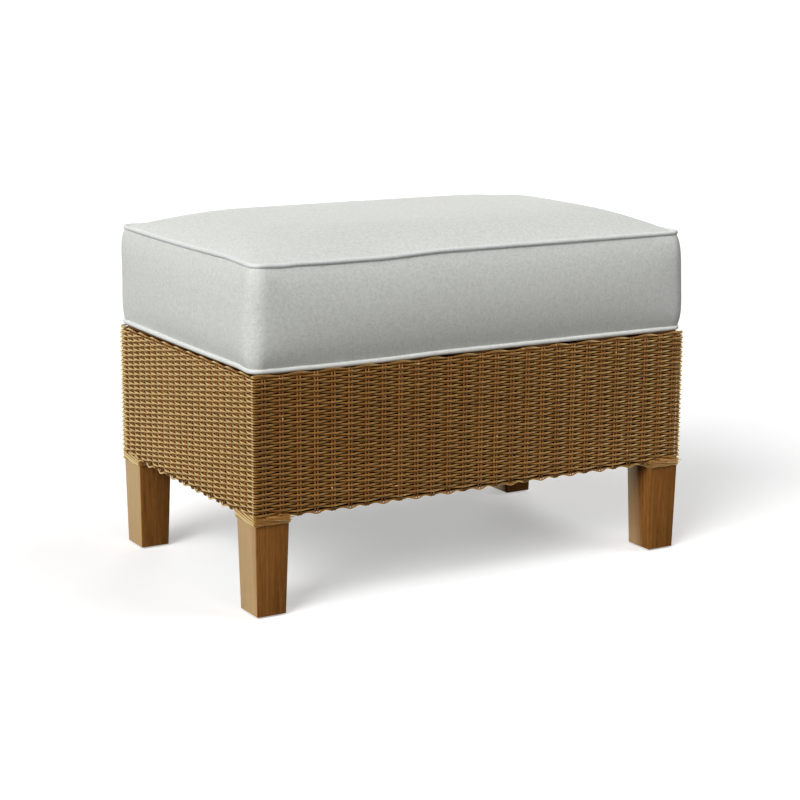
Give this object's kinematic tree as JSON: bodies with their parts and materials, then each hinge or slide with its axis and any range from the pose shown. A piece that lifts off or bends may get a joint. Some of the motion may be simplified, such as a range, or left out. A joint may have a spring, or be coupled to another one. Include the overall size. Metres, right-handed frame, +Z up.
{
  "type": "outdoor ottoman footstool",
  "caption": "Low rectangular outdoor footstool with tapered wooden legs, a skirt of woven resin cane and a thick welted box cushion that lifts off.",
  "frame": {"origin": "on the floor, under the middle of the footstool", "axes": "+X along the long side, +Z up, -Y towards the front, the zip is on the +Y side"},
  "size_m": [0.6894, 0.4269, 0.4859],
  "materials": {
    "leg_wood": "oiled teak-coloured hardwood, satin",
    "frame_wood": "sealed hardwood, matt",
    "cane": "extruded resin cane, satin",
    "glide": "black nylon",
    "bolt_steel": "zinc plated",
    "foam": "open-cell foam",
    "cushion_fabric": "woven outdoor acrylic, matt",
    "zip": "nylon coil zip and tape",
    "zip_metal": "nickel plated"
  },
  "bodies": {
    "base": {"leg_front_left": "leg_wood", "glide_front_left": "glide", "leg_wrap_front_left": "cane", "corner_block_front_left": "frame_wood", "corner_bolt_front_left": "bolt_steel", "leg_front_right": "leg_wood", "glide_front_right": "glide", "leg_wrap_front_right": "cane", "corner_block_front_right": "frame_wood", "corner_bolt_front_right": "bolt_steel", "leg_back_left": "leg_wood", "glide_back_left": "glide", "leg_wrap_back_left": "cane", "corner_block_back_left": "frame_wood", "corner_bolt_back_left": "bolt_steel", "leg_back_right": "leg_wood", "glide_back_right": "glide", "leg_wrap_back_right": "cane", "corner_block_back_right": "frame_wood", "corner_bolt_back_right": "bolt_steel", "top_rail_front": "frame_wood", "bottom_rail_front": "frame_wood", "woven_panel_front": "cane", "top_border_front": "cane", "bottom_border_front": "cane", "top_rail_right": "frame_wood", "bottom_rail_right": "frame_wood", "woven_panel_right": "cane", "top_border_right": "cane", "bottom_border_right": "cane", "top_rail_back": "frame_wood", "bottom_rail_back": "frame_wood", "woven_panel_back": "cane", "top_border_back": "cane", "bottom_border_back": "cane", "top_rail_left": "frame_wood", "bottom_rail_left": "frame_wood", "woven_panel_left": "cane", "top_border_left": "cane", "bottom_border_left": "cane", "centre_rail": "frame_wood", "deck_slat_1": "frame_wood", "deck_slat_2": "frame_wood", "deck_slat_3": "frame_wood", "deck_slat_4": "frame_wood", "deck_slat_5": "frame_wood", "deck_slat_6": "frame_wood", "deck_slat_7": "frame_wood"},
    "cushion": {"cushion_foam": "foam", "cushion_top_panel": "cushion_fabric", "cushion_bottom_panel": "cushion_fabric", "cushion_boxing": "cushion_fabric", "cushion_top_welt": "cushion_fabric", "cushion_bottom_welt": "cushion_fabric", "zip_chain": "zip"},
    "zip_slider": {"zip_slider": "zip_metal"}
  },
  "joints": [
    {"name": "cushion_lift", "type": "slide", "parent": "base", "child": "cushion", "axis": [0, 0, 1], "range_m": [0, 0.2]},
    {"name": "zip_run", "type": "slide", "parent": "cushion", "child": "zip_slider", "axis": [1, 0, 0], "range_m": [0, 0.508]}
  ]
}
